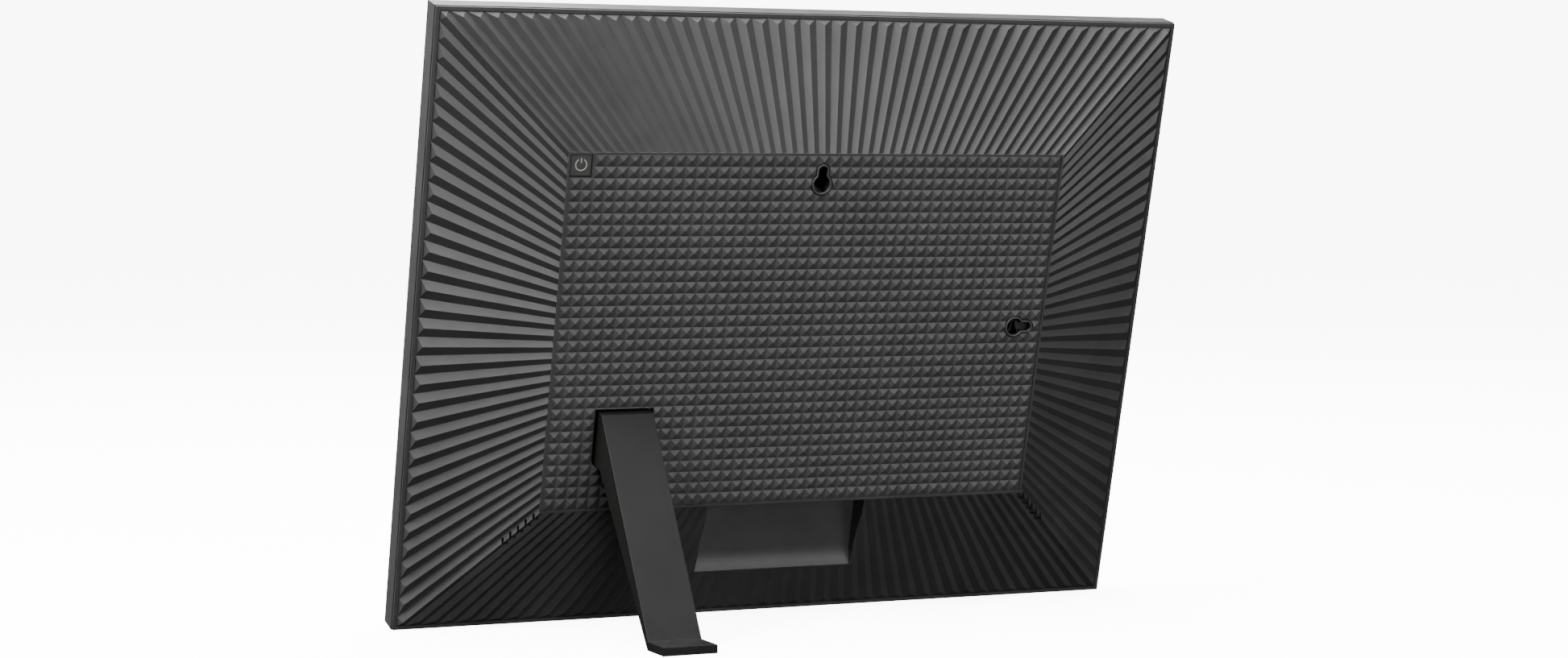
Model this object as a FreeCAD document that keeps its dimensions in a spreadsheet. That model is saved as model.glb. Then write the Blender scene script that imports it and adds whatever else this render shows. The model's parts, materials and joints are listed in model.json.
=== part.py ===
"""Digital photo frame standing on its plug-in leg, as a FreeCAD document.

The frame is drawn upright in its own frame and then leaned back as one:
  x runs to the right as seen from the screen side,
  y runs out of the back, with 0 on the plane of the rear rim,
  z runs up, with 0 on the underside of the bezel.
Every sub-part gets the same leaning placement, so that the cover's lower rear
edge and the sole of the leg lie on z = 0 and the origin is under the middle of
the bounding box.
"""
import FreeCAD, Part

import math
import os
import re

import Sketcher
from FreeCAD import Placement, Rotation, Vector

# ---------------------------------------------------------------- driving sizes (mm, degrees)
SIZES = {
    # outline and lean
    "frame_width": 235.0,
    "frame_height": 186.0,
    "band_depth": 7.9,
    "lean_angle": 14.74,
    # front bezel
    "bezel_front": 1.5,
    "bezel_wall": 2.0,
    "window_width": 197.6,
    "window_height": 148.5,
    # rear cover: rim, ribs, lip
    "parting_gap": 0.4,
    "cover_edge": 0.6,
    "cover_inset": 0.2,
    "ring_width": 1.1,
    "ring_step": 0.3,
    "skirt_depth": 2.6,
    "skirt_wall": 1.6,
    "cover_wall": 1.8,
    "panel_rise": 10.83,
    "raised_width": 157.8,
    "raised_height": 108.3,
    "lip_width": 0.65,
    "ledge_width": 1.5,
    "ledge_floor": 8.93,
    "ledge_under": 7.1,
    "ribs_across": 46,
    "ribs_up": 32,
    "rib_height": 1.0,
    "hip_length": 1.6,
    # cable recess in the lower slope
    "recess_width": 51.3,
    "recess_top": 38.8,
    "recess_lip": 15.6,
    "recess_floor": 2.8,
    "recess_bend": 21.6,
    "recess_curve": 11.4,
    "recess_wall": 1.5,
    "recess_sill": 0.7,
    # vent slots on the two lower mitres
    "vent_count": 5,
    "vent_pitch": 2.02,
    "vent_slot": 0.6,
    "vent_arm": 2.1,
    # rear panel insert
    "panel_gap": 0.1,
    "panel_face": 10.6,
    "adhesive": 0.2,
    # keyholes
    "key_head": 2.6,
    "key_neck": 1.37,
    "key_drop": 4.1,
    "key_rim": 0.55,
    "key_plate": 1.5,
    "key_floor": 5.2,
    "key_top_z": 137.8,
    "key_side_x": -69.4,
    # leg and its socket
    "socket_x": 55.0,
    "socket_z": 61.25,
    "socket_mouth": 18.1,
    "mouth_corner": 2.6,
    "socket_size": 24.0,
    "socket_step": 7.7,
    "socket_floor": 0.9,
    "plug_size": 16.2,
    "tongue_size": 12.6,
    "tongue_play": 0.1,
    "shoulder_y": 7.75,
    "tongue_tip": 1.1,
    "heel_reach": 67.2,
    "toe_reach": 79.9,
    "foot_height": 2.6,
    "outer_top_y": 12.95,
    "inner_top_y": 15.54,
    "pad_height": 0.7,
    "pad_proud": 0.1,
    "toe_undercut": 0.1,
    # power button
    "button_x": 75.0,
    "button_z": 143.3,
    "button_width": 6.2,
    "button_height": 6.1,
    "button_face": 10.65,
    "button_under": 9.6,
    "button_stem": 1.2,
    "button_tip": 8.55,
    "symbol_radius": 1.84,
    "symbol_stroke": 0.38,
    "symbol_lift": 0.2,
    # stack behind the screen
    "display_width": 210.0,
    "display_height": 164.0,
    "glass_width": 203.0,
    "glass_height": 155.0,
    "chassis_width": 214.0,
    "chassis_height": 168.0,
    "chassis_face": -0.15,
    "chassis_sheet": 0.8,
    "board_face": 2.2,
    "board_sheet": 1.2,
    "board_width": 90.0,
    "board_height": 68.0,
    "board_x": -15.0,
    "board_z": 76.0,
    "post_radius": 2.5,
    "screw_hole": 1.25,
    "screw_shank": 1.2,
    "speaker_x": 77.0,
    "speaker_z": 40.5,
    "wire_radius": 0.6,
}

DOC = FreeCAD.newDocument("PhotoFrame")
SHEET = DOC.addObject("Spreadsheet::Sheet", "Sizes")
for row, (alias, size) in enumerate(SIZES.items(), start=1):
    SHEET.set("A%d" % row, alias)
    SHEET.set("B%d" % row, str(size))
    SHEET.setAlias("B%d" % row, alias)
DOC.recompute()

LEAN = math.radians(SIZES["lean_angle"])
FRONT_REACH = SIZES["band_depth"] * math.cos(LEAN)
LEANING = Placement(
    Vector(0, (FRONT_REACH - SIZES["toe_reach"]) / 2, -SIZES["cover_inset"] * math.cos(LEAN)),
    Rotation(Vector(1, 0, 0), -SIZES["lean_angle"]),
)
ALONG_Y = Rotation(Vector(1, 0, 0), -90)
ALONG_X = Rotation(Vector(0, 1, 0), 90)
UP_Z = Rotation()
PARTS = []
MID_Z = "frame_height / 2"


def bind(thing, prop, formula):
    """Bind a property to a formula written with the sheet's aliases."""
    def cell(word):
        return "Sizes." + word.group(0) if word.group(0) in SIZES else word.group(0)
    thing.setExpression(prop, re.sub(r"[a-z_]+", cell, str(formula)))


def bind_all(thing, formulas):
    for prop, formula in formulas.items():
        bind(thing, prop, formula)


def finish_part(thing, label):
    """Register a document object as a finished sub-part."""
    thing.Label = label
    thing.Placement = LEANING
    PARTS.append(thing)
    return thing


class Piece:
    """A PartDesign body built from boxes, rods and padded outlines."""

    def __init__(self, label, finished=True):
        self.body = DOC.addObject("PartDesign::Body", label + "_body")
        self.body.AllowCompound = True
        self.label = label
        self.count = 0
        if finished:
            finish_part(self.body, label)

    def feature(self, kind):
        self.count += 1
        return self.body.newObject("PartDesign::" + kind, "%s_%d" % (self.label, self.count))

    def box(self, x, y, z, wide, deep, tall, cut=False):
        """A box centred on x and z, starting at depth y."""
        block = self.feature("SubtractiveBox" if cut else "AdditiveBox")
        bind_all(block, {
            "Length": wide, "Width": deep, "Height": tall,
            "Placement.Base.x": "%s - (%s) / 2" % (x, wide),
            "Placement.Base.y": y,
            "Placement.Base.z": "%s - (%s) / 2" % (z, tall),
        })
        return self

    def cut_box(self, x, y, z, wide, deep, tall):
        return self.box(x, y, z, wide, deep, tall, cut=True)

    def rod(self, x, y, z, radius, length, turn=ALONG_Y, cut=False):
        """A round rod starting at x, y, z and running along y, or along x or z."""
        rod = self.feature("SubtractiveCylinder" if cut else "AdditiveCylinder")
        rod.Placement = Placement(Vector(), turn)
        bind_all(rod, {
            "Radius": radius, "Height": length,
            "Placement.Base.x": x, "Placement.Base.y": y, "Placement.Base.z": z,
        })
        return self

    def cut_rod(self, x, y, z, radius, length, turn=ALONG_Y):
        return self.rod(x, y, z, radius, length, turn, cut=True)

    def keyhole(self, way, head, neck, y, deep, cut=False):
        """A keyhole outline: a round head and a narrower neck beside it."""
        head_x, head_z, neck_x, neck_z = KEYHOLES[way]
        wide = "2 * (%s)" % neck if head_x == neck_x else "key_drop"
        tall = "key_drop" if head_x == neck_x else "2 * (%s)" % neck
        middle = ["(%s + %s) / 2" % pair for pair in ((head_x, neck_x), (head_z, neck_z))]
        self.rod(head_x, y, head_z, head, deep, cut=cut)
        self.rod(neck_x, y, neck_z, neck, deep, cut=cut)
        return self.box(middle[0], y, middle[1], wide, deep, tall, cut=cut)

    def profile(self, corners, x, wide, cut=False):
        """An outline in the y-z plane, carried across from x - wide / 2."""
        sketch = self.body.newObject("Sketcher::SketchObject", self.label + "_outline")
        planes = self.body.Origin.OriginFeatures
        sketch.AttachmentSupport = [(next(p for p in planes if p.Role == "YZ_Plane"), "")]
        sketch.MapMode = "FlatFace"
        bind(sketch, "AttachmentOffset.Base.z", "%s - (%s) / 2" % (x, wide))
        turn = 2 * math.pi / len(corners)
        start = [Vector(math.cos(i * turn), math.sin(i * turn), 0) for i in range(len(corners))]
        for i, corner in enumerate(start):
            sketch.addGeometry(Part.LineSegment(corner, start[(i + 1) % len(start)]), False)
        for i, (y, z) in enumerate(corners):
            after = (i + 1) % len(corners)
            sketch.addConstraint(Sketcher.Constraint("Coincident", i, 2, after, 1))
            across = sketch.addConstraint(
                Sketcher.Constraint("DistanceX", -1, 1, i, 1, start[i].x))
            upward = sketch.addConstraint(
                Sketcher.Constraint("DistanceY", -1, 1, i, 1, start[i].y))
            bind(sketch, "Constraints[%d]" % across, y)
            bind(sketch, "Constraints[%d]" % upward, z)
        pad = self.feature("Pocket" if cut else "Pad")
        pad.Profile = sketch
        pad.Reversed = cut
        bind(pad, "Length", wide)
        sketch.Visibility = False
        return self


KEYHOLES = {
    "up": ("0", "key_top_z", "0", "key_top_z + key_drop"),
    "out": ("key_side_x", MID_Z, "key_side_x - key_drop", MID_Z),
}


def standing(y, z):
    """A point given y behind the rear edge and z above the table."""
    turn = "(lean_angle)"
    z = "(%s + cover_inset * cos%s)" % (z, turn)
    return (
        "(%s) * cos%s - (%s) * sin%s" % (y, turn, z, turn),
        "(%s) * sin%s + (%s) * cos%s" % (y, turn, z, turn),
    )


# ---------------------------------------------------------------- rear cover
def ribbed_block():
    """The cover's outside as one closed block: rim ring, ribs and raised top.

    On each slope the rib lines run to one common point, so every rib face is
    flat. Ridges lie on the corner diagonals, and each rib ends at the rim in
    a small hip.
    """
    half_width = SIZES["frame_width"] / 2
    half_height = SIZES["frame_height"] / 2
    rim = SIZES["cover_inset"] + SIZES["ring_width"]
    foot = -SIZES["ring_step"]
    top = SIZES["panel_rise"]
    outer = (half_width - rim, half_height - rim)
    inner = (SIZES["raised_width"] / 2, SIZES["raised_height"] / 2)
    ridge_start = foot + SIZES["rib_height"]
    hip = SIZES["hip_length"] / (outer[1] - inner[1])

    def point(corner, y):
        return Vector(corner[0], y, corner[1] + half_height)

    def rectangle(half_x, half_z, y):
        signs = ((-1, -1), (1, -1), (1, 1), (-1, 1))
        return [point((sx * half_x, sz * half_z), y) for sx, sz in signs]

    def face(*corners):
        return Part.Face(Part.makePolygon(list(corners) + [corners[0]]))

    faces = []
    foot_line = []
    top_line = []
    corners = ((-1, -1), (1, -1), (1, 1), (-1, 1))
    counts = (SIZES["ribs_across"], SIZES["ribs_up"]) * 2
    for side, count in enumerate(counts):
        start, end = corners[side], corners[(side + 1) % 4]
        along = 0 if count == SIZES["ribs_across"] else 1
        shrink = inner[along] / outer[along]
        valley_top = foot + (top - foot) - shrink * SIZES["rib_height"]

        def place(step, inward):
            """The plan position a share of the way along and up the slope."""
            share = step / count
            plan = [start[i] + (end[i] - start[i]) * share for i in (0, 1)]
            return [plan[i] * (outer[i] + (inner[i] - outer[i]) * inward) for i in (0, 1)]

        valleys = [(point(place(k + 0.5, 0), foot), point(place(k + 0.5, 1), valley_top))
                   for k in range(count)]
        ridges = [(point(place(k, hip), ridge_start + hip * (top - ridge_start)),
                   point(place(k, 1), top)) for k in range(count + 1)]
        for k, (low, high) in enumerate(valleys):
            before, after = ridges[k], ridges[k + 1]
            faces.append(face(low, before[0], before[1], high))
            faces.append(face(low, high, after[1], after[0]))
            faces.append(face(before[1], after[1], high))
        corner, next_corner = point(place(0, 0), foot), point(place(count, 0), foot)
        feet = [corner] + [low for low, high in valleys] + [next_corner]
        for k, ridge in enumerate(ridges):
            faces.append(face(feet[k], feet[k + 1], ridge[0]))
        foot_line += feet[:-1]
        top_line += [ridge[1] for ridge in ridges[:-1]]

    edge = (half_width - SIZES["cover_inset"], half_height - SIZES["cover_inset"])
    rim_inside = rectangle(outer[0], outer[1], 0)
    rim_outside = rectangle(edge[0], edge[1], 0)
    rim_under = rectangle(edge[0], edge[1], -SIZES["cover_edge"])
    starts = [0]
    for count in counts:
        starts.append(starts[-1] + count + 1)
    for i in range(4):
        j = (i + 1) % 4
        faces.append(face(rim_outside[i], rim_outside[j], rim_inside[j], rim_inside[i]))
        faces.append(face(rim_under[i], rim_under[j], rim_outside[j], rim_outside[i]))
        step = [foot_line[k % len(foot_line)] for k in range(starts[i], starts[i + 1] + 1)]
        faces.append(face(rim_inside[i], *(step + [rim_inside[j]])))
    faces.append(face(*rim_under))
    faces.append(face(*top_line))
    shell = Part.makeShell(faces)
    shell.sewShape()
    block = Part.makeSolid(shell)
    if block.Volume < 0:
        block.reverse()
    return block


def bound_box(name, x, y, z, wide, deep, tall):
    box = DOC.addObject("Part::Box", name)
    bind_all(box, {
        "Length": wide, "Width": deep, "Height": tall,
        "Placement.Base.x": "%s - (%s) / 2" % (x, wide),
        "Placement.Base.y": y,
        "Placement.Base.z": "%s - (%s) / 2" % (z, tall),
    })
    return box


def merged(name, kind, shapes):
    group = DOC.addObject("Part::" + kind, name)
    group.Shapes = shapes
    return group


def cover_cavity():
    """The hollow behind the slopes, one wall's thickness inside the ribs."""
    skirt = "(bezel_wall + 0.25 + skirt_wall)"
    hollow = DOC.addObject("Part::Wedge", "cover_hollow")
    bind_all(hollow, {
        "Xmin": "-frame_width / 2 + " + skirt, "Xmax": "frame_width / 2 - " + skirt,
        "Zmin": skirt, "Zmax": "frame_height - " + skirt,
        "Ymin": "cover_wall * -0.78", "Ymax": "ledge_under",
        "X2min": "-raised_width / 2 - 3", "X2max": "raised_width / 2 + 3",
        "Z2min": "(frame_height - raised_height) / 2 - 3",
        "Z2max": "(frame_height + raised_height) / 2 + 3",
    })
    return hollow


def vent_slots():
    """Chevron slots that step down the two lower mitres, over the speakers."""
    slots = []
    for side in ("-1", "1"):
        for k in range(int(SIZES["vent_count"])):
            out = "(raised_width / 2 + 1.4 + %d * vent_pitch)" % k
            down = "((frame_height - raised_height) / 2 - 1.95 - %d * vent_pitch)" % k
            name = "vent_%s_%d" % ("left" if side == "-1" else "right", k)
            inset = "(vent_arm / 2 - vent_slot / 2)"
            slots.append(bound_box(
                name + "_flat", "%s * (%s - %s)" % (side, out, inset), "5.5", down,
                "vent_arm", "7", "vent_slot"))
            slots.append(bound_box(
                name + "_tall", "%s * %s" % (side, out), "5.5", "%s + %s" % (down, inset),
                "vent_slot", "7", "vent_arm"))
    return slots


COVER_TABS = (("-45", 142.5), ("45", 142.5), ("-64", 43.5), ("36", 43.5))
PORT_X = {"power": "19", "data": "8.8", "card": "-9.5"}


def rear_cover():
    block = DOC.addObject("Part::Feature", "ribbed_block")
    block.Shape = ribbed_block()
    skirt = bound_box(
        "cover_skirt", "0", "-skirt_depth", MID_Z,
        "frame_width - 2 * bezel_wall - 0.5", "skirt_depth - cover_edge + 0.01",
        "frame_height - 2 * bezel_wall - 0.5")
    shell = DOC.addObject("Part::Cut", "cover_shell")
    shell.Base = merged("cover_mass", "MultiFuse", [block, skirt])
    inside = "(2 * bezel_wall + 0.5 + 2 * skirt_wall)"
    shell.Tool = merged("cover_inside", "MultiFuse", [
        cover_cavity(),
        bound_box("skirt_inside", "0", "-4", MID_Z, "frame_width - " + inside,
                  "4 - cover_wall * 0.78", "frame_height - " + inside),
        bound_box("panel_seat", "0", "ledge_floor", MID_Z, "raised_width - 2 * lip_width",
                  "4", "raised_height - 2 * lip_width"),
        bound_box("panel_opening", "0", "6", MID_Z,
                  "raised_width - 2 * lip_width - 2 * ledge_width", "4",
                  "raised_height - 2 * lip_width - 2 * ledge_width"),
    ])
    ridge_slope = "((panel_rise + ring_step - rib_height)"
    ridge_slope += " / ((frame_height - raised_height) / 2 - cover_inset - ring_width))"

    def ridge_y(z):
        """The depth of the rib ridges on the lower slope, at a height z."""
        return "rib_height - ring_step + (%s - cover_inset - ring_width) * %s" % (z, ridge_slope)

    sill = Piece("recess_sill_strip", finished=False)
    sill.profile([
        ("recess_floor - 0.5", "recess_lip - recess_sill"),
        (ridge_y("recess_lip - recess_sill"), "recess_lip - recess_sill"),
        (ridge_y("recess_lip + 2"), "recess_lip + 2"),
        ("recess_floor - 0.5", "recess_lip + 2"),
    ], "0", "recess_width + 2 * recess_sill")
    tub = Piece("recess_tub", finished=False)
    wall = "recess_wall"
    tub.profile([
        ("recess_floor - " + wall, "recess_top + " + wall),
        ("ledge_floor - 0.03", "recess_top + " + wall),
        ("ledge_floor - 0.03", "recess_top - 0.8"),
        ("recess_floor - 0.5", "recess_lip - " + wall),
        ("recess_floor - " + wall, "recess_lip - " + wall),
    ], "0", "recess_width + 2 * recess_wall")
    tabs = [bound_box("cover_tab_%d" % k, x, "6", str(z), "8", "1.2", "16")
            for k, (x, z) in enumerate(COVER_TABS)]
    joined = merged("cover_with_recess", "MultiFuse", [shell, tub.body, sill.body] + tabs)

    hollow = Piece("recess_hollow", finished=False)
    hollow.box("0", "recess_floor", "(recess_top + recess_bend) / 2", "recess_width",
               "14", "recess_top - recess_bend")
    hollow.rod("-recess_width / 2", "recess_floor + recess_curve", "recess_bend",
               "recess_curve", "recess_width", turn=ALONG_X)
    ports = [
        bound_box("card_mouth", PORT_X["card"], "3.3", "recess_top", "27.7", "3.2", "4"),
        bound_box("data_mouth", PORT_X["data"], "3.3", "recess_top", "7.9", "4.2", "5"),
        bound_box("power_mouth", PORT_X["power"], "3.3", "recess_top", "9.2", "5.64", "5"),
    ]
    for k, (x, z) in enumerate(COVER_TABS):
        hole = DOC.addObject("Part::Cylinder", "tab_hole_%d" % k)
        hole.Placement = Placement(Vector(0, 5, z), ALONG_Y)
        bind_all(hole, {"Radius": "screw_hole + 0.15", "Height": "4", "Placement.Base.x": x})
        ports.append(hole)
    cover = DOC.addObject("Part::Cut", "rear_cover_cut")
    cover.Base = joined
    cover.Tool = merged("cover_openings", "MultiFuse", [hollow.body] + ports + vent_slots())
    finish_part(cover, "rear_cover")


# ---------------------------------------------------------------- front and screen
def front_bezel():
    depth = "(band_depth - parting_gap - cover_edge)"
    bezel = Piece("front_bezel")
    bezel.box("0", "-band_depth", MID_Z, "frame_width", depth, "frame_height")
    bezel.cut_box("0", "bezel_front - band_depth", MID_Z, "frame_width - 2 * bezel_wall",
                  depth, "frame_height - 2 * bezel_wall")
    bezel.cut_box("0", "-band_depth - 1", MID_Z, "window_width", "4", "window_height")


def display_stack():
    inner = "bezel_front - band_depth"
    window = Piece("cover_window")
    window.box("0", inner, MID_Z, "glass_width + 3", "1", "glass_height + 3")
    gasket = Piece("display_gasket")
    gasket.box("0", inner + " + 1", MID_Z, "glass_width + 3", "0.5", "glass_height + 3")
    gasket.cut_box("0", inner + " + 0.5", MID_Z, "window_width + 1", "2", "window_height + 1")
    cell = Piece("lcd_cell")
    cell.box("0", inner + " + 1.5", MID_Z, "glass_width", "1.3", "glass_height")
    light = Piece("backlight_unit")
    light.box("0", inner + " + 2.8", MID_Z, "display_width", "2.6", "display_height")


def chassis_plate():
    back = "chassis_face"
    plate = Piece("chassis_plate")
    plate.box("0", back + " - chassis_sheet", MID_Z, "chassis_width", "chassis_sheet",
              "chassis_height")
    for x, z in COVER_TABS:
        plate.rod(x, back, str(z), "post_radius", "6 - chassis_face")
    for x, z in BOARD_HOLES:
        plate.rod(x, back, z, "post_radius", "board_face - chassis_face")
    for x, z in COVER_TABS:
        plate.cut_rod(x, "0.5", str(z), "screw_hole", "6")
    for x, z in BOARD_HOLES:
        plate.cut_rod(x, "-0.1", z, "screw_hole", "3")
    plate.cut_box("0", "-2", FLEX_Z, "34", "3", "2")


BOARD_HOLES = [
    ("board_x + %d * (board_width / 2 - 4)" % sx, "board_z + %d * (board_height / 2 - 4)" % sz)
    for sx in (-1, 1) for sz in (-1, 1)
]
BOARD_TOP = "board_face + board_sheet"
FLEX_Z = "(board_z + board_height / 2 + 2.5)"


# ---------------------------------------------------------------- electronics
def main_board():
    board = Piece("main_board")
    board.box("board_x", "board_face", "board_z", "board_width", "board_sheet", "board_height")
    for x, z in BOARD_HOLES:
        board.cut_rod(x, "board_face - 1", z, "screw_hole + 0.15", "4")

    processor = Piece("processor")
    processor.box("-30", BOARD_TOP, "88", "17", "1.4", "17")
    can = Piece("shield_can")
    can.box("-30", BOARD_TOP, "88", "30", "2.4", "28")
    can.cut_box("-30", BOARD_TOP + " - 1", "88", "29.4", "3.1", "27.4")
    memory = Piece("memory_chips")
    for z in ("82", "95"):
        memory.box("0", BOARD_TOP, z, "14", "1.1", "9")
    coil = Piece("power_inductor")
    coil.box("19", BOARD_TOP, "60", "6", "2.8", "6")
    cans = Piece("capacitors")
    for x in ("14", "21"):
        cans.rod(x, BOARD_TOP, "70", "2.5", "4.6")
    sockets = Piece("board_connectors")
    sockets.box("0", BOARD_TOP, FLEX_Z + " - 8", "34", "1", "4")
    for x in ("-52", "22"):
        sockets.box(x, BOARD_TOP, "92", "4", "2.4", "7")
    sockets.box("24", BOARD_TOP, "82", "4", "2.4", "5")

    flex = Piece("display_flex")
    reach = BOARD_TOP + " + 1.3"
    flex.profile([
        ("chassis_face - chassis_sheet", FLEX_Z + " - 0.15"),
        ("chassis_face - chassis_sheet", FLEX_Z + " + 0.15"),
        (reach, FLEX_Z + " + 0.15"), (reach, FLEX_Z + " - 9"),
        (BOARD_TOP + " + 1", FLEX_Z + " - 9"), (BOARD_TOP + " + 1", FLEX_Z + " - 0.15"),
    ], "0", "30")


def ports():
    """The sockets behind the ceiling of the cable recess."""
    mouth = "recess_top + 0.3"
    jack = Piece("power_jack")
    jack.box(PORT_X["power"], BOARD_TOP, mouth + " + 6", "9", "5.2", "12")
    jack.cut_rod(PORT_X["power"], BOARD_TOP + " + 2.8", mouth + " - 1", "2", "11", turn=UP_Z)
    pin = Piece("power_jack_pin")
    pin.rod(PORT_X["power"], BOARD_TOP + " + 2.8", mouth + " + 1", "0.85", "9", turn=UP_Z)
    data = Piece("data_port")
    data.box(PORT_X["data"], BOARD_TOP, mouth + " + 4.6", "7.7", "4", "9.2")
    data.cut_box(PORT_X["data"], BOARD_TOP + " + 0.4", mouth + " + 3", "6.9", "3.2", "10")
    data.box(PORT_X["data"], BOARD_TOP + " + 1.5", mouth + " + 5", "4.8", "1", "7")
    card = Piece("card_slot")
    card.box(PORT_X["card"], BOARD_TOP, mouth + " + 14", "27.5", "3", "28")
    card.cut_box(PORT_X["card"], BOARD_TOP + " + 0.3", mouth + " + 12", "24.4", "2.4", "28")


def speakers():
    for name, side in (("left", "1"), ("right", "-1")):
        speaker = Piece("speaker_" + name)
        at = side + " * speaker_x"
        speaker.box(at, "3.9", "speaker_z", "18", "1.2", "18")
        speaker.rod(at, "0.1", "speaker_z", "6", "3.81")
        ring = Piece("speaker_seal_" + name)
        ring.box(at, "5.1", "speaker_z", "18", "0.6", "18")
        ring.cut_rod(at, "5", "speaker_z", "7.5", "1")


def wire(label, corners):
    """A thin wire of straight runs with rounded joints at its corners."""
    runs = []
    for k, (start, end) in enumerate(zip(corners, corners[1:])):
        run = DOC.addObject("Part::Cylinder", "%s_run_%d" % (label, k))
        along = end - start
        run.Placement = Placement(start, Rotation(Vector(0, 0, 1), along))
        bind(run, "Radius", "wire_radius")
        run.Height = along.Length
        runs.append(run)
    for k, corner in enumerate(corners[1:-1]):
        knuckle = DOC.addObject("Part::Sphere", "%s_bend_%d" % (label, k))
        knuckle.Placement.Base = corner
        bind(knuckle, "Radius", "wire_radius")
        runs.append(knuckle)
    finish_part(merged(label + "_whole", "MultiFuse", runs), label)


def wiring():
    lift = SIZES["board_face"] + SIZES["board_sheet"] + 3.1
    wire("speaker_wire_left", [
        Vector(77, 3.2, 49.6), Vector(77, 3.2, 78), Vector(34, 3.2, 92),
        Vector(34, lift, 92), Vector(22, lift, 92)])
    wire("speaker_wire_right", [
        Vector(-77, 3.2, 49.6), Vector(-77, 3.2, 78), Vector(-63, 3.2, 92),
        Vector(-63, lift, 92), Vector(-52, lift, 92)])
    wire("button_wire", [
        Vector(75, 4.5, 133.7), Vector(75, 4.5, 128), Vector(75, 1.6, 122),
        Vector(75, 1.6, 112), Vector(38, 1.6, 82),
        Vector(38, lift, 82), Vector(24, lift, 82)])


# ---------------------------------------------------------------- rear panel and keyholes
def rear_panel():
    bottom = "(ledge_floor + adhesive)"
    panel = Piece("rear_panel")
    seat_wide = "(raised_width - 2 * lip_width)"
    seat_tall = "(raised_height - 2 * lip_width)"
    panel.box("0", bottom, MID_Z, seat_wide + " - 2 * panel_gap", "panel_face - " + bottom,
              seat_tall + " - 2 * panel_gap")
    panel.cut_box("button_x + 5", "8", "button_z + 5", "button_width + 10.6", "5",
                  "button_height + 10.6")
    cut_mouth(panel, "8")
    for way in KEYHOLES:
        panel.keyhole(way, "key_head + key_rim + 0.05", "key_neck + key_rim + 0.05", "8", "5",
                      cut=True)
    tape = Piece("panel_adhesive")
    tape.box("0", "ledge_floor", MID_Z, seat_wide + " - 0.6", "adhesive", seat_tall + " - 0.6")
    tape.cut_box("0", "8", MID_Z, seat_wide + " - 2 * ledge_width + 0.4", "3",
                 seat_tall + " - 2 * ledge_width + 0.4")
    tape.cut_box("button_x + 5", "8", "button_z + 5", "button_width + 10.6", "3",
                 "button_height + 10.6")


def keyhole_cups():
    under = "(ledge_floor + adhesive)"
    face = "(panel_face + 0.25)"
    for way, label in (("up", "keyhole_cup_top"), ("out", "keyhole_cup_side")):
        head_x, head_z, neck_x, neck_z = KEYHOLES[way]
        cup = Piece(label)
        cup.keyhole(way, "key_head + 1.1", "key_head + 0.45", "key_floor", under + " - key_floor")
        cup.box(head_x, under + " - 1", head_z, "13", "1", "13")
        cup.keyhole(way, "key_head + key_rim", "key_neck + key_rim", under + " - 0.5",
                    face + " - " + under + " + 0.5")
        cup.keyhole(way, "key_head + 0.2", "key_head + 0.2", "key_floor + 0.8",
                    face + " - key_plate - key_floor - 0.8", cut=True)
        cup.keyhole(way, "key_head", "key_neck", face + " - key_plate - 0.5", "4", cut=True)


# ---------------------------------------------------------------- power button
def power_button():
    key = Piece("power_button")
    key.box("button_x", "button_under", "button_z", "button_width", "button_face - button_under",
            "button_height")
    key.rod("button_x", "button_tip", "button_z", "button_stem", "button_under - button_tip + 0.1")
    mark = "(button_z + symbol_lift)"
    symbol = Piece("power_symbol")
    symbol.rod("button_x", "button_face", mark, "symbol_radius", "0.08")
    symbol.cut_rod("button_x", "button_face - 1", mark, "symbol_radius - symbol_stroke", "3")
    symbol.cut_box("button_x", "button_face - 1", mark + " + symbol_radius", "1.5", "3", "1.9")
    symbol.box("button_x", "button_face", mark + " + 1.22", "symbol_stroke", "0.08", "1.44")
    board = Piece("button_board")
    board.box("button_x", "4", "button_z - 2", "9", "1", "15")
    switch = Piece("tact_switch")
    switch.box("button_x", "5", "button_z", "6", "1.9", "6")
    switch.rod("button_x", "6.8", "button_z", "1.4", "1.2")
    posts = Piece("button_board_posts")
    for z in ("button_z - 7.5", "button_z + 3.5"):
        posts.rod("button_x", "chassis_face", z, "1.5", "4 - chassis_face")


# ---------------------------------------------------------------- leg and socket
def cut_mouth(piece, y):
    """The square mouth around the leg's plug, with its two lower corners rounded."""
    size, corner = "socket_mouth", "mouth_corner"
    piece.cut_box("socket_x", y, "socket_z + mouth_corner / 2", size, "5", "%s - %s" % (size, corner))
    piece.cut_box("socket_x", y, "socket_z", "%s - 2 * %s" % (size, corner), "5", size)
    for side in ("-1", "1"):
        across = "socket_x + %s * (socket_mouth / 2 - mouth_corner)" % side
        piece.cut_rod(across, y, "socket_z - socket_mouth / 2 + mouth_corner", corner, "5")


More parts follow.
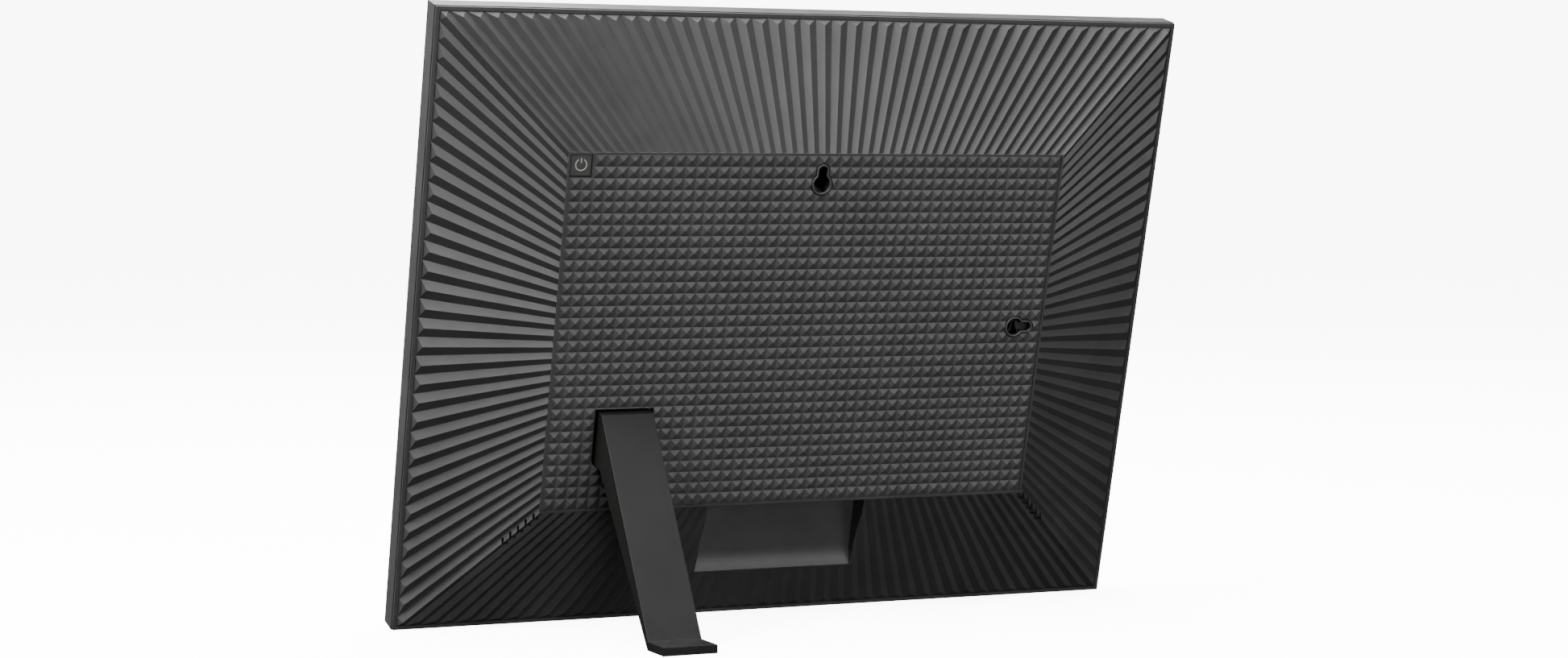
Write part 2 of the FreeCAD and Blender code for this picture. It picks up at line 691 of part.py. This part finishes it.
def stand():
    socket = Piece("stand_socket")
    under = "(ledge_floor + adhesive)"
    socket.box("socket_x", "0.1", "socket_z", "socket_size", under + " - 0.1", "socket_size")
    cut_mouth(socket, "socket_step")
    socket.cut_box("socket_x", "socket_floor", "socket_z", "tongue_size + 2 * tongue_play", "9",
                   "tongue_size + 2 * tongue_play")

    leg = Piece("stand_leg")
    plug_top = "socket_z + plug_size / 2"
    plug_foot = "socket_z - plug_size / 2"
    leg.profile([
        ("shoulder_y", plug_top),
        ("outer_top_y", plug_top),
        standing("heel_reach + 0.7", "foot_height"),
        standing("toe_reach", "foot_height"),
        standing("toe_reach - toe_undercut", "pad_proud"),
        standing("heel_reach", "pad_proud"),
        ("inner_top_y", plug_foot),
        ("shoulder_y", plug_foot),
    ], "socket_x", "plug_size")
    leg.box("socket_x", "tongue_tip", "socket_z", "tongue_size", "shoulder_y - tongue_tip + 0.1",
            "tongue_size")
    sole = [
        standing("heel_reach + 1.6", "0"), standing("heel_reach + 1.6", "pad_height"),
        standing("toe_reach - 2", "pad_height"), standing("toe_reach - 2", "0"),
    ]
    leg.profile(sole, "socket_x", "plug_size - 2", cut=True)
    pad = Piece("foot_pad")
    pad.profile(sole, "socket_x", "plug_size - 2")


# ---------------------------------------------------------------- fasteners
def screws(label, places, seat, shank):
    """Pan-head screws, each a separate solid, driven in from the back."""
    group = Piece(label)
    for x, z in places:
        group.rod(x, "%s - %s" % (seat, shank), z, "screw_shank", shank + " + 0.1")
        group.rod(x, seat, z, "2.2", "1.4")
    for x, z in places:
        group.cut_box(x, seat + " + 0.6", z, "2.4", "2", "0.5")
        group.cut_box(x, seat + " + 0.6", z, "0.5", "2", "2.4")


def fasteners():
    screws("board_screws", BOARD_HOLES, BOARD_TOP, "3.2")
    screws("cover_screws", [(x, str(z)) for x, z in COVER_TABS], "7.2", "6")


def check_and_write():
    DOC.recompute()
    for thing in DOC.Objects:
        if {"Invalid", "Error"} & set(thing.State):
            raise RuntimeError("%s is %s" % (thing.Label, thing.State))
    for part in PARTS:
        if part.Shape.isNull() or not part.Shape.isValid():
            raise RuntimeError("%s has no valid shape" % part.Label)
    os.makedirs("parts", exist_ok=True)
    whole = FreeCAD.BoundBox()
    for part in PARTS:
        part.Shape.exportStep("parts/%s.step" % part.Label)
        whole.add(part.Shape.BoundBox)
        print("%-20s solids %2d  volume %10.1f mm3" % (
            part.Label, len(part.Shape.Solids), part.Shape.Volume))
    print("whole object", whole)


rear_cover()
front_bezel()
display_stack()
chassis_plate()
main_board()
ports()
speakers()
wiring()
rear_panel()
keyhole_cups()
power_button()
stand()
fasteners()
check_and_write()
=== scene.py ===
"""Looks for the digital photo frame: a moulded back with fanned ribs, a panel of small
pyramids, a plug-in leg and a glazed screen side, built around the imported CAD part."""

import json
import math

import bmesh
import bpy
from mathutils import Matrix, Vector

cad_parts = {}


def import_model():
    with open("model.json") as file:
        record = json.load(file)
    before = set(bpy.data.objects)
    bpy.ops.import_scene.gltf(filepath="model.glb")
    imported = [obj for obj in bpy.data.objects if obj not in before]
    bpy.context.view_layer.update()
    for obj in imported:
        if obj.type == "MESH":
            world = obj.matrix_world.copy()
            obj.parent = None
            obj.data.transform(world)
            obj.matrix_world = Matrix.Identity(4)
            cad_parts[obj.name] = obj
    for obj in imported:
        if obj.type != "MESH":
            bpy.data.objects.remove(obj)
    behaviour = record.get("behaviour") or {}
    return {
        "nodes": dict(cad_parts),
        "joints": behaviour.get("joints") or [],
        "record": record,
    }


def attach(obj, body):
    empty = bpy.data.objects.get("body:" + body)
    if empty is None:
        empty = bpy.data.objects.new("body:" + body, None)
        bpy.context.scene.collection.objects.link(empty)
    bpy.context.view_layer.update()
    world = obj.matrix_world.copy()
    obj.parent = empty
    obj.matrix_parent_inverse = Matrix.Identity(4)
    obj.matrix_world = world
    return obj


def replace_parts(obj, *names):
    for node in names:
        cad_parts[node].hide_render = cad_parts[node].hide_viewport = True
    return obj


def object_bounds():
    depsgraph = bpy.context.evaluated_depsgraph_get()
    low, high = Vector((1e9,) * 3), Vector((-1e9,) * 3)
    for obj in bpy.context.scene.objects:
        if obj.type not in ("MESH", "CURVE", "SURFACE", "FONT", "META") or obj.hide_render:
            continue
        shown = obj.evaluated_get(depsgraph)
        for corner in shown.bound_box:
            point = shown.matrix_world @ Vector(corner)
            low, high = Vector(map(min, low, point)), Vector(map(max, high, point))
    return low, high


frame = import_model()
CAD_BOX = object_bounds()
MM = 0.001
WELD_GAP = 0.002 * MM

# ---------------------------------------------------------------- the frame's own axes
# Across, out of the back and up the leaning frame. The origin is under the middle of its
# lower rear edge, on the plane of the rear rim.
BAND_DEPTH = 7.9 * MM
OUT = Vector(next(j["axis"] for j in frame["joints"] if j["name"] == "leg_unplug")).normalized()
UP = Vector((0, -OUT.z, OUT.y))
TURN = Matrix((Vector((1, 0, 0)), OUT, UP)).transposed()


def span(points):
    """Lowest and highest corner of some points."""
    return [Vector([pick(p[i] for p in points) for i in range(3)]) for pick in (min, max)]


BEZEL = span([TURN.transposed() @ v.co for v in frame["nodes"]["front_bezel"].data.vertices])
ORIGIN = TURN @ Vector((0, BEZEL[0].y + BAND_DEPTH, BEZEL[0].z))
LEANING = Matrix.Translation(ORIGIN) @ TURN.to_4x4()
UPRIGHT = LEANING.inverted()


def own_box(node):
    """Lowest and highest corner of a CAD node along the frame's own axes."""
    return span([UPRIGHT @ v.co for v in frame["nodes"][node].data.vertices])


def middle(box):
    return (box[0] + box[1]) / 2


# ---------------------------------------------------------------- materials
class Surface:
    """A Principled material whose patterns are set out in millimetres on the piece."""

    def __init__(self, slot, colour, roughness, **sockets):
        self.material = bpy.data.materials.new(slot)
        self.material.use_nodes = True
        self.nodes = self.material.node_tree.nodes
        self.links = self.material.node_tree.links
        self.shader = self.nodes["Principled BSDF"]
        self.shader.inputs["Base Color"].default_value = (*colour, 1)
        self.shader.inputs["Roughness"].default_value = roughness
        for name, value in sockets.items():
            self.shader.inputs[name.replace("_", " ")].default_value = value
        self.colour = colour
        self.roughness = roughness
        self.bumps = None
        place = self.nodes.new("ShaderNodeTexCoord")
        self.place = self.stretch(place.outputs["Object"], (1 / MM, 1 / MM, 1 / MM))

    def stretch(self, place, scale):
        mapping = self.nodes.new("ShaderNodeMapping")
        mapping.inputs["Scale"].default_value = scale
        self.links.new(place, mapping.inputs["Vector"])
        return mapping.outputs["Vector"]

    def noise(self, size, detail=2.0, stretch=None):
        """Cloudy values from 0 to 1, about size millimetres from patch to patch."""
        made = self.nodes.new("ShaderNodeTexNoise")
        made.inputs["Scale"].default_value = 1 / size
        made.inputs["Detail"].default_value = detail
        place = self.stretch(self.place, stretch) if stretch else self.place
        self.links.new(place, made.inputs["Vector"])
        return made.outputs[0]

    def cells(self, size, feature="F1"):
        made = self.nodes.new("ShaderNodeTexVoronoi")
        made.feature = feature
        made.inputs["Scale"].default_value = 1 / size
        self.links.new(self.place, made.inputs["Vector"])
        return made.outputs["Distance"]

    def ranged(self, value, low, high, start=0.3, end=0.7):
        made = self.nodes.new("ShaderNodeMapRange")
        for name, number in (("From Min", start), ("From Max", end), ("To Min", low), ("To Max", high)):
            made.inputs[name].default_value = number
        self.links.new(value, made.inputs["Value"])
        return made.outputs["Result"]

    def shade(self, value, spread):
        """The colour drifts darker and lighter by a share of itself."""
        ramp = self.nodes.new("ShaderNodeValToRGB")
        for element, at, gain in zip(ramp.color_ramp.elements, (0.3, 0.7), (1 - spread, 1 + spread)):
            element.position = at
            element.color = (*[c * gain for c in self.colour], 1)
        self.links.new(value, ramp.inputs["Fac"])
        self.links.new(ramp.outputs["Color"], self.shader.inputs["Base Color"])
        return self

    def two_tone(self, value, other, start, end):
        ramp = self.nodes.new("ShaderNodeValToRGB")
        for element, at, colour in zip(ramp.color_ramp.elements, (start, end), (self.colour, other)):
            element.position = at
            element.color = (*colour, 1)
        self.links.new(value, ramp.inputs["Fac"])
        self.links.new(ramp.outputs["Color"], self.shader.inputs["Base Color"])
        return self

    def gloss(self, value, spread):
        uneven = self.ranged(value, self.roughness - spread, self.roughness + spread)
        self.links.new(uneven, self.shader.inputs["Roughness"])
        return self

    def bump(self, value, depth, strength=1.0):
        """Relief of a depth in millimetres, over what is there already."""
        made = self.nodes.new("ShaderNodeBump")
        made.inputs["Strength"].default_value = strength
        made.inputs["Distance"].default_value = depth * MM
        self.links.new(value, made.inputs["Height"])
        if self.bumps:
            self.links.new(self.bumps, made.inputs["Normal"])
        self.bumps = made.outputs["Normal"]
        self.links.new(self.bumps, self.shader.inputs["Normal"])
        return self


def moulded(slot, colour, roughness, grain=0.22, depth=0.012, drift=0.10, **sockets):
    """Satin moulded plastic: spark-eroded grain, faint drift in colour and gloss."""
    made = Surface(slot, colour, roughness, **sockets)
    fine = made.noise(grain, 2)
    made.shade(made.noise(14, 4), drift)
    made.gloss(made.noise(3.5, 3), 0.04)
    made.bump(fine, depth)
    return made.material


def metal(slot, colour, roughness, size, spread, **sockets):
    """Bare metal with rolled or crystalline variation."""
    made = Surface(slot, colour, roughness, Metallic=1.0, **sockets)
    made.shade(made.noise(size, 3), spread)
    made.gloss(made.noise(size / 4, 2), 0.06)
    made.bump(made.noise(size / 8, 2), 0.004)
    return made.material


def clear_window():
    made = Surface("window_acrylic", (0.96, 0.97, 0.98), 0.03, Transmission_Weight=1.0, IOR=1.49)
    made.gloss(made.noise(25, 2), 0.01)
    return made.material


def dark_glass():
    made = Surface("display_glass", (0.004, 0.0045, 0.006), 0.12, Coat_Weight=0.6, Coat_Roughness=0.03)
    made.shade(made.noise(30, 2), 0.25)
    made.bump(made.noise(0.4, 1), 0.0005)
    return made.material


def light_guide():
    made = Surface("light_guide", (0.74, 0.75, 0.74), 0.35)
    made.shade(made.noise(20, 2), 0.04)
    made.bump(made.cells(0.8), 0.01)
    return made.material


def circuit_board():
    """Green solder mask over copper runs."""
    made = Surface("board_green", (0.008, 0.055, 0.024), 0.32, Coat_Weight=0.3, Coat_Roughness=0.2)
    runs = made.cells(2.4, "DISTANCE_TO_EDGE")
    made.two_tone(runs, (0.014, 0.105, 0.045), 0.06, 0.10)
    made.bump(runs, 0.03)
    return made.material


def foam():
    made = Surface("foam", (0.012, 0.012, 0.012), 0.95)
    made.shade(made.cells(0.35), 0.4)
    made.bump(made.cells(0.35), 0.15)
    return made.material


def tape():
    made = Surface("adhesive_tape", (0.62, 0.60, 0.55), 0.55)
    made.shade(made.noise(4, 3), 0.08)
    made.bump(made.noise(0.9, 3), 0.02)
    return made.material


def film():
    made = Surface("flex_film", (0.21, 0.055, 0.010), 0.30, Coat_Weight=0.4)
    runs = made.noise(0.6, 0, (1, 0.02, 0.02))
    made.two_tone(runs, (0.34, 0.12, 0.025), 0.48, 0.54)
    made.bump(runs, 0.02)
    return made.material


def rubber(slot, colour, roughness):
    made = Surface(slot, colour, roughness)
    made.shade(made.noise(2.5, 3), 0.2)
    made.bump(made.noise(0.25, 3), 0.04)
    return made.material


def painted_mark():
    made = Surface("symbol_white", (0.30, 0.295, 0.28), 0.55)
    made.shade(made.noise(0.5, 2), 0.06)
    made.bump(made.noise(0.12, 2), 0.006)
    return made.material


CHARCOAL = (0.034, 0.034, 0.0335)
PANEL_GREY = (0.043, 0.043, 0.042)
LOOKS = {
    "bezel_plastic": moulded("bezel_plastic", (0.034, 0.034, 0.034), 0.40, depth=0.008),
    "cover_plastic": moulded("cover_plastic", CHARCOAL, 0.47),
    "panel_plastic": moulded("panel_plastic", PANEL_GREY, 0.47),
    "cup_plastic": moulded("cup_plastic", PANEL_GREY, 0.45, depth=0.006),
    "button_plastic": moulded("button_plastic", PANEL_GREY, 0.50, depth=0.008),
    "socket_plastic": moulded("socket_plastic", (0.020, 0.020, 0.020), 0.45),
    "leg_plastic": moulded("leg_plastic", (0.006, 0.006, 0.0058), 0.45, depth=0.004,
                            Specular_IOR_Level=0.14),
    "jack_plastic": moulded("jack_plastic", (0.012, 0.012, 0.012), 0.42),
    "connector_nylon": moulded("connector_nylon", (0.60, 0.57, 0.48), 0.42),
    "speaker_black": moulded("speaker_black", (0.016, 0.016, 0.017), 0.5),
    "switch_black": moulded("switch_black", (0.014, 0.014, 0.014), 0.45),
    "chip_black": moulded("chip_black", (0.018, 0.018, 0.019), 0.62, grain=0.12, depth=0.01),
    "ferrite": moulded("ferrite", (0.030, 0.031, 0.034), 0.7, grain=0.3, depth=0.03),
    "wire_jacket": moulded("wire_jacket", (0.022, 0.022, 0.024), 0.38),
    "sheet_steel": metal("sheet_steel", (0.55, 0.56, 0.57), 0.36, 11, 0.12),
    "shield_tin": metal("shield_tin", (0.68, 0.68, 0.66), 0.28, 6, 0.06),
    "can_aluminium": metal("can_aluminium", (0.75, 0.75, 0.76), 0.25, 3, 0.05),
    "contact_brass": metal("contact_brass", (0.78, 0.58, 0.26), 0.25, 2, 0.08),
    "screw_steel": metal("screw_steel", (0.30, 0.30, 0.31), 0.33, 1.5, 0.10),
    "pad_rubber": rubber("pad_rubber", (0.020, 0.020, 0.021), 0.85),
    "window_acrylic": clear_window(),
    "display_glass": dark_glass(),
    "light_guide": light_guide(),
    "board_green": circuit_board(),
    "foam": foam(),
    "adhesive_tape": tape(),
    "flex_film": film(),
    "symbol_white": painted_mark(),
}


# ---------------------------------------------------------------- making pieces
# Angles in degrees: faces in one plane, edges that are rounded, and a limit no edge reaches.
FLAT_ANGLE = 0.2
SOFT_ANGLE = 28
NO_CREASE = 180
CURVE_CREASE = 12


def piece(name, mesh, body, slot):
    """A new piece from a mesh drawn in the frame's own axes."""
    made = bpy.data.objects.new(name, mesh)
    bpy.context.scene.collection.objects.link(made)
    mesh.transform(LEANING)
    mesh.materials.clear()
    mesh.materials.append(LOOKS[slot])
    for polygon in mesh.polygons:
        polygon.use_smooth = True
        polygon.material_index = 0
    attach(made, body)
    return made


def soft_edges(made, width, angle):
    """Rounds the edges over an angle in degrees by a width in millimetres."""
    bevel = made.modifiers.new("soft_edges", "BEVEL")
    bevel.width = width * MM
    bevel.segments = 2
    bevel.limit_method = "ANGLE"
    bevel.angle_limit = math.radians(angle)
    return bevel


def soften(made, width):
    """Rounds the edges by a width in millimetres and keeps the flats flat."""
    soft_edges(made, width, SOFT_ANGLE).use_clamp_overlap = False
    normals = made.modifiers.new("flat_faces", "WEIGHTED_NORMAL")
    normals.keep_sharp = True
    normals.weight = 60


def clean_copy(node, crease, whole_flats):
    """A CAD node's mesh in the frame's own axes, sharp at each edge over the crease angle."""
    mesh = bpy.data.meshes.new(node + "_fine")
    work = bmesh.new()
    work.from_mesh(frame["nodes"][node].data)
    work.transform(UPRIGHT)
    bmesh.ops.remove_doubles(work, verts=work.verts, dist=WELD_GAP)
    if whole_flats:
        flat = math.radians(FLAT_ANGLE)
        bmesh.ops.dissolve_limit(work, angle_limit=flat, verts=work.verts, edges=work.edges)
    for edge in work.edges:
        edge.smooth = edge.calc_face_angle(0) < math.radians(crease)
    work.to_mesh(mesh)
    work.free()
    stored = mesh.attributes.get("custom_normal")
    if stored:
        mesh.attributes.remove(stored)
    return mesh


def crisp(node, body, slot, crease):
    """A CAD node with sharp edges and smooth curves, standing for it."""
    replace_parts(piece(node + "_fine", clean_copy(node, crease, False), body, slot), node)


def refined(node, body, slot, width):
    """A CAD node with softened edges, standing for it."""
    made = piece(node + "_fine", clean_copy(node, NO_CREASE, True), body, slot)
    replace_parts(made, node)
    soften(made, width)


def prism(outline, low, high):
    """A closed prism of an x-z outline, from one depth to another."""
    work = bmesh.new()
    rings = [[work.verts.new((x, y, z)) for x, z in outline] for y in (low, high)]
    count = len(outline)
    for i in range(count):
        j = (i + 1) % count
        work.faces.new((rings[0][i], rings[0][j], rings[1][j], rings[1][i]))
    work.faces.new(rings[0])
    work.faces.new(list(reversed(rings[1])))
    bmesh.ops.recalc_face_normals(work, faces=work.faces)
    mesh = bpy.data.meshes.new("prism")
    work.to_mesh(mesh)
    work.free()
    return mesh


def arc(centre, radius, start, end, steps=24):
    """Points on an arc, in degrees from across towards up."""
    angles = [math.radians(start + (end - start) * i / steps) for i in range(steps + 1)]
    return [(centre[0] + radius * math.cos(a), centre[1] + radius * math.sin(a)) for a in angles]


def cut_away(made, cutters):
    """Takes closed meshes out of a piece and keeps the result as its mesh."""
    helpers = []
    for cutter in cutters:
        helper = bpy.data.objects.new("cutter", cutter)
        bpy.context.scene.collection.objects.link(helper)
        helper.matrix_world = LEANING
        cut = made.modifiers.new("cut", "BOOLEAN")
        cut.operation = "DIFFERENCE"
        cut.solver = "EXACT"
        cut.object = helper
        helpers.append(helper)
    bpy.context.view_layer.update()
    result = bpy.data.meshes.new_from_object(made.evaluated_get(bpy.context.evaluated_depsgraph_get()))
    made.modifiers.clear()
    made.data = result
    for helper in helpers:
        bpy.data.objects.remove(helper)


# ---------------------------------------------------------------- rear panel of pyramids
PYRAMIDS_ACROSS = 45
PYRAMIDS_UP = 31
FIELD_WIDTH = 155.8 * MM
FIELD_HEIGHT = 106.8 * MM
PYRAMID_HEIGHT = 0.44 * MM
PYRAMID_FOOT = 10.38 * MM
KEY_CELLS = 2
KEY_NECK = 1.37 * MM
KEY_DROP = 4.1 * MM
KEY_RIM = 0.55 * MM
RIM_GROOVE = 0.32 * MM
MOUTH = 18.1 * MM
MOUTH_CORNER = 2.6 * MM
KEY_GAP = 0.3 * MM
RIDGE_FLAT = 0.05 * MM
OVERCUT = 3 * MM


def keyhole_outline(mount, way, extra):
    """The outline of a keyhole: most of a circle, then a narrower neck with a round end."""
    found = next(m for m in frame["record"]["mounts"] if m["name"] == mount)
    head = UPRIGHT @ Vector(found["pos_m"])
    radius = found["dims"]["r_mm"] * MM + extra
    neck = KEY_NECK + extra
    spread = math.degrees(math.asin(neck / radius))
    end = (head.x + KEY_DROP * math.cos(math.radians(way)), head.z + KEY_DROP * math.sin(math.radians(way)))
    around = arc((head.x, head.z), radius, way + spread, way + 360 - spread, 40)
    return around + arc(end, neck, way - 90, way + 90, 16)


def mouth_outline():
    """The square mouth round the leg's plug, with its lower corners rounded."""
    centre = middle(own_box("stand_socket"))
    half = MOUTH / 2
    straight = half - MOUTH_CORNER
    right, left = centre.x + half, centre.x - half
    corners = [(right, centre.z + half), (left, centre.z + half)]
    corners += arc((centre.x - straight, centre.z - straight), MOUTH_CORNER, 180, 270, 8)
    return corners + arc((centre.x + straight, centre.z - straight), MOUTH_CORNER, 270, 360, 8)


def rear_panel():
    """The panel insert: a field of low square pyramids, cut round the openings."""
    low, high = own_box("rear_panel")
    mid = (low + high) / 2
    across = [mid.x + FIELD_WIDTH * (i / PYRAMIDS_ACROSS - 0.5) for i in range(PYRAMIDS_ACROSS + 1)]
    upward = [mid.z + FIELD_HEIGHT * (i / PYRAMIDS_UP - 0.5) for i in range(PYRAMIDS_UP + 1)]
    columns = [low.x] + across + [high.x]
    rows = [low.z] + upward + [high.z] if high.z - upward[-1] > 0.01 * MM else upward
    first_row = 1 if len(rows) > len(upward) else 0
    work = bmesh.new()
    grid = [[work.verts.new((x, PYRAMID_FOOT, z)) for x in columns] for z in rows]
    ridges = []
    for r in range(len(rows) - 1):
        for c in range(len(columns) - 1):
            corners = (grid[r][c], grid[r][c + 1], grid[r + 1][c + 1], grid[r + 1][c])
            inside = 1 <= c <= PYRAMIDS_ACROSS and first_row <= r < first_row + PYRAMIDS_UP
            key = c > PYRAMIDS_ACROSS - KEY_CELLS and r - first_row >= PYRAMIDS_UP - KEY_CELLS
            if key or not inside:
                work.faces.new(corners)
                continue
            centre = sum((v.co for v in corners), Vector()) / 4
            apex = work.verts.new(centre + Vector((0, PYRAMID_HEIGHT, 0)))
            for k in range(4):
                work.faces.new((corners[k], corners[(k + 1) % 4], apex))
            ridges += list(apex.link_edges)
    under = [work.verts.new((x, low.y, z)) for x, z in (
        (low.x, low.z), (high.x, low.z), (high.x, high.z), (low.x, high.z))]
    right, left = [row[-1] for row in grid], [row[0] for row in reversed(grid)]
    edges = [grid[0], right, list(reversed(grid[-1])), left]
    for k, edge in enumerate(edges):
        work.faces.new(list(edge) + [under[(k + 1) % 4], under[k]])
    work.faces.new(under)
    bmesh.ops.bevel(work, geom=ridges, offset=RIDGE_FLAT, segments=1, affect="EDGES", clamp_overlap=True)
    bmesh.ops.recalc_face_normals(work, faces=work.faces)
    mesh = bpy.data.meshes.new("rear_panel_pyramids")
    work.to_mesh(mesh)
    work.free()
    made = piece("rear_panel_pyramids", mesh, "frame", "panel_plastic")
    button_low = own_box("power_button")[0]
    inner = (button_low.x - KEY_GAP, button_low.z - KEY_GAP)
    outer = (high.x + OVERCUT, high.z + OVERCUT)
    corner = [inner, (outer[0], inner[1]), outer, (inner[0], outer[1])]
    rim = KEY_RIM + RIM_GROOVE
    outlines = [
        keyhole_outline("hanging_keyhole_top", 90, rim),
        keyhole_outline("hanging_keyhole_side", 180, rim),
        mouth_outline(),
        corner,
    ]
    cut_away(made, [prism(outline, low.y - MM, high.y + 2 * MM) for outline in outlines])
    for polygon in made.data.polygons:
        polygon.use_smooth = False
    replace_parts(made, "rear_panel")


# ---------------------------------------------------------------- the other pieces
rear_panel()
crisp("rear_cover", "frame", "cover_plastic", CURVE_CREASE)
crisp("front_bezel", "frame", "bezel_plastic", SOFT_ANGLE)
refined("stand_leg", "leg", "leg_plastic", 0.12)
refined("foot_pad", "leg", "pad_rubber", 0.15)
refined("stand_socket", "frame", "socket_plastic", 0.2)
refined("keyhole_cup_top", "frame", "cup_plastic", 0.12)
refined("keyhole_cup_side", "frame", "cup_plastic", 0.12)
refined("power_button", "button", "button_plastic", 0.15)
refined("power_symbol", "button", "symbol_white", 0.02)
crisp("cover_window", "frame", "window_acrylic", CURVE_CREASE)
crisp("lcd_cell", "frame", "display_glass", CURVE_CREASE)

for part in frame["record"]["subparts"]:
    node = frame["nodes"][part["node"]]
    node.data.materials.clear()
    node.data.materials.append(LOOKS[part["material_slot"]])
    if not node.hide_render:
        weld = node.modifiers.new("joined", "WELD")
        weld.merge_threshold = WELD_GAP
        soft_edges(node, 0.1, 35)


# ---------------------------------------------------------------- floor, light and camera
STUDIO_GLOW = 9.0
BACKDROP_RADIUS = 8
LENS = 70.84
CAMERA_TURN = 23.28
CAMERA_RISE = 2.6
CAMERA_DISTANCE = 0.9087
AIM_OFFSET = Vector((8.1, 0, -3.0)) * MM


def studio_surface(name, mesh):
    """A pale surface that only the camera sees, so it throws no light back on the object."""
    made = bpy.data.objects.new(name, mesh)
    bpy.context.scene.collection.objects.link(made)
    surface = Surface(name + "_paper", (0.86, 0.86, 0.855), 0.9, Emission_Strength=STUDIO_GLOW,
                      Emission_Color=(1, 1, 1, 1))
    surface.shade(surface.noise(300, 2), 0.01)
    mesh.materials.append(surface.material)
    made.visible_diffuse = False
    made.visible_glossy = False
    made.visible_transmission = False
    return made


def studio():
    ground = bpy.data.meshes.new("floor")
    reach = 1.4 * BACKDROP_RADIUS
    corners = [(-reach, -reach, 0), (reach, -reach, 0), (reach, reach, 0), (-reach, reach, 0)]
    ground.from_pydata(corners, [], [(0, 1, 2, 3)])
    studio_surface("floor", ground)
    shell = bmesh.new()
    bmesh.ops.create_uvsphere(shell, u_segments=64, v_segments=32, radius=BACKDROP_RADIUS)
    sky = bpy.data.meshes.new("backdrop")
    shell.to_mesh(sky)
    shell.free()
    studio_surface("backdrop", sky).visible_shadow = False


def area_light(name, place, aim, width, height, power):
    light = bpy.data.lights.new(name, "AREA")
    light.shape = "RECTANGLE"
    light.size = width
    light.size_y = height
    light.energy = power
    made = bpy.data.objects.new(name, light)
    bpy.context.scene.collection.objects.link(made)
    made.location = place
    made.rotation_euler = (Vector(aim) - Vector(place)).to_track_quat("-Z", "Y").to_euler()


def world(above, below):
    """Dim even light from above that fades out below the horizon."""
    made = bpy.data.worlds.new("studio")
    bpy.context.scene.world = made
    made.use_nodes = True
    nodes, links = made.node_tree.nodes, made.node_tree.links
    backdrop = nodes["Background"]
    backdrop.inputs["Color"].default_value = (1, 1, 1, 1)
    direction = nodes.new("ShaderNodeTexCoord")
    parts = nodes.new("ShaderNodeSeparateXYZ")
    fade = nodes.new("ShaderNodeMapRange")
    for name, number in (("From Min", -0.1), ("From Max", 0.3), ("To Min", below), ("To Max", above)):
        fade.inputs[name].default_value = number
    links.new(direction.outputs["Generated"], parts.inputs["Vector"])
    links.new(parts.outputs["Z"], fade.inputs["Value"])
    links.new(fade.outputs["Result"], backdrop.inputs["Strength"])


def camera():
    lens = bpy.data.cameras.new("camera")
    lens.lens = LENS
    lens.sensor_width = 36
    lens.clip_start = 0.01
    made = bpy.data.objects.new("camera", lens)
    bpy.context.scene.collection.objects.link(made)
    centre = (CAD_BOX[0] + CAD_BOX[1]) / 2
    aim = centre + AIM_OFFSET
    turn, rise = math.radians(CAMERA_TURN), math.radians(CAMERA_RISE)
    back = Vector((math.sin(turn) * math.cos(rise), math.cos(turn) * math.cos(rise), math.sin(rise)))
    made.location = aim + back * CAMERA_DISTANCE
    made.rotation_euler = (-back).to_track_quat("-Z", "Y").to_euler()
    bpy.context.scene.camera = made


studio()
TARGET = (0, 0, 0.1)
LIGHTS = (
    ("ceiling", (0, 0, 1.6), 1.2, 1.2, 120),
    ("top_left", (0.7, 0.2, 0.7), 0.4, 0.4, 20),
    ("far_left", (2.0, 0.3, 2.2), 1.0, 1.0, 120),
    ("right_back", (-1.0, 1.6, 0.3), 0.8, 0.8, 12),
    ("low_back", (0.2, 1.6, 0.12), 0.8, 0.3, 14),
    ("back_top", (0, 1.0, 1.2), 0.6, 0.6, 3),
    ("screen_top", (0, -0.8, 0.9), 0.6, 0.6, 8),
    ("screen_fill", (1.7, -1.4, 0.9), 0.9, 0.9, 14),
)
for name, place, width, height, power in LIGHTS:
    area_light(name, place, TARGET, width, height, power)
world(0.04, 0.0)
camera()
